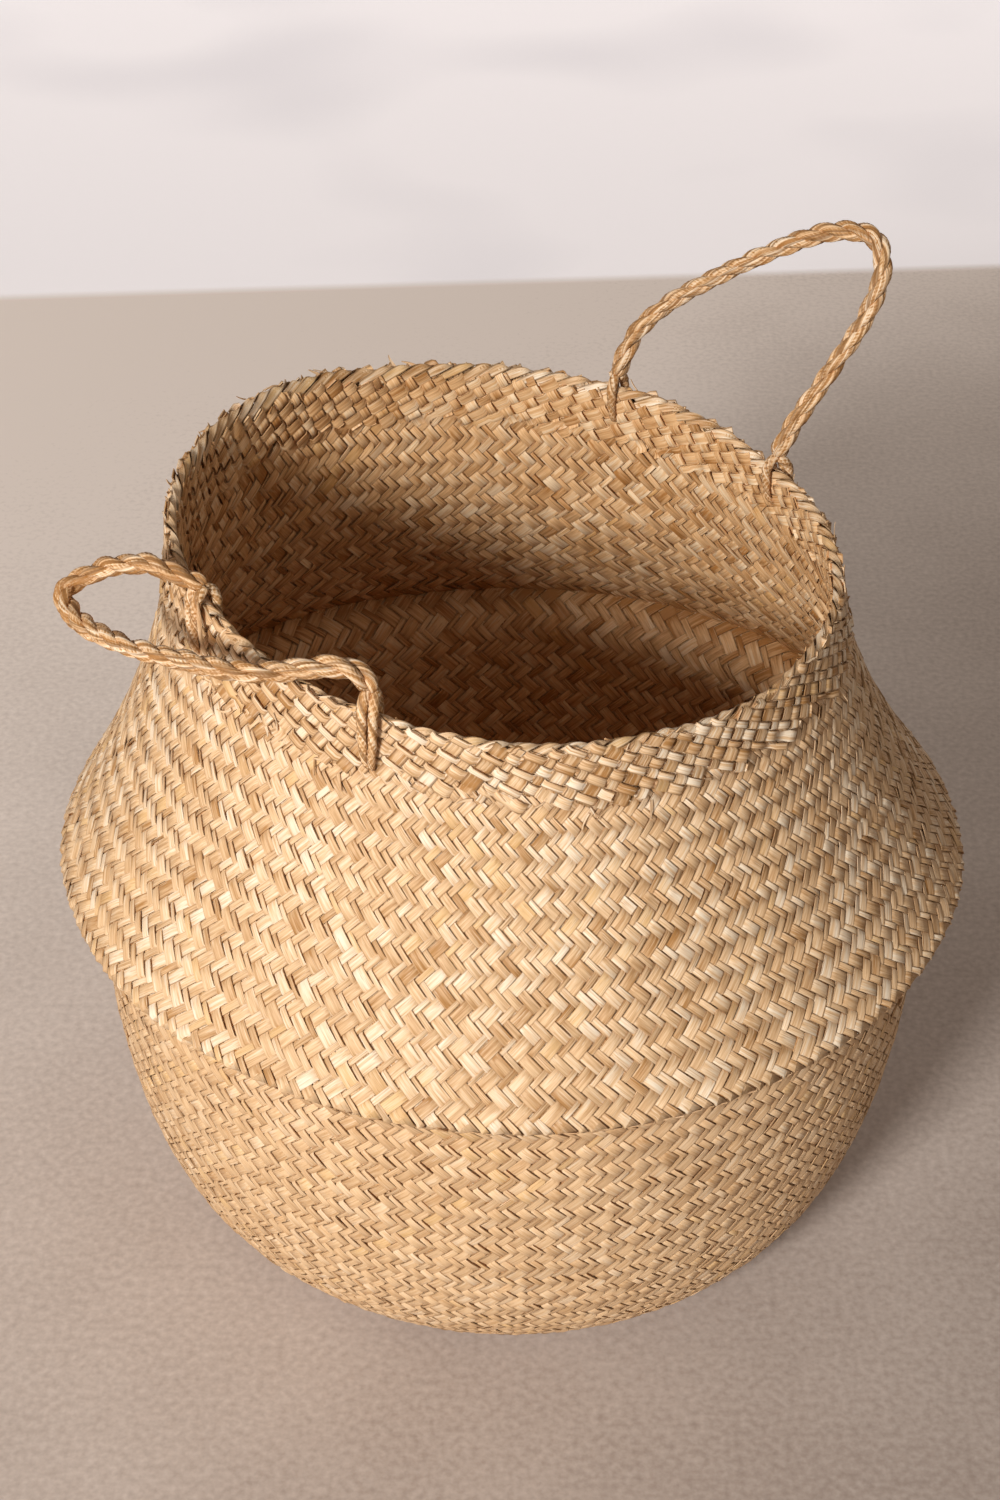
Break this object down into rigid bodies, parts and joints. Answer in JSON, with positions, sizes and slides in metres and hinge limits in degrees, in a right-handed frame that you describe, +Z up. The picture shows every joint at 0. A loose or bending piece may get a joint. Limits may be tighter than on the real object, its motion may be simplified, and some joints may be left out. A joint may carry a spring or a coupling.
{
  "type": "belly basket",
  "caption": "Round woven seagrass basket with a wide belly that folds along a crease, a narrower neck and twisted rope handles.",
  "frame": {"origin": "centre of the flat base, on the surface that the basket stands on", "axes": "+Z up along the bowl's axis, -Y towards the viewer, +X to the viewer's right"},
  "size_m": [0.42, 0.42, 0.4485],
  "materials": {
    "seagrass_weave": "matte",
    "seagrass_rope": "matte"
  },
  "bodies": {
    "bowl": {"base_mat": "seagrass_weave", "bowl_wall": "seagrass_weave", "belly_fold": "seagrass_weave", "belly_flare": "seagrass_weave"},
    "neck": {"neck_wall": "seagrass_weave", "rim_band": "seagrass_weave", "rim_edge": "seagrass_weave", "left_handle_back_foot": "seagrass_rope", "left_handle_front_foot": "seagrass_rope", "right_handle_back_foot": "seagrass_rope", "right_handle_front_foot": "seagrass_rope", "loose_strand": "seagrass_rope"},
    "left_handle": {"left_handle_rope": "seagrass_rope"},
    "right_handle": {"right_handle_rope": "seagrass_rope"}
  },
  "joints": [
    {"name": "neck_fold", "type": "slide", "parent": "bowl", "child": "neck", "axis": [0, 0, 1], "range_m": [-0.148, 0], "deforming": ["belly_flare"]},
    {"name": "left_handle_swing", "type": "hinge", "parent": "neck", "child": "left_handle", "pos_m": [-0.09251, -0.10511, 0.36527], "axis": [0.7615, -0.6412, -0.0947], "range_deg": [-105, 54]},
    {"name": "right_handle_swing", "type": "hinge", "parent": "neck", "child": "right_handle", "pos_m": [0.0846, 0.10466, 0.3555], "axis": [-0.7598, 0.6432, 0.0946], "range_deg": [-130, 58]}
  ]
}
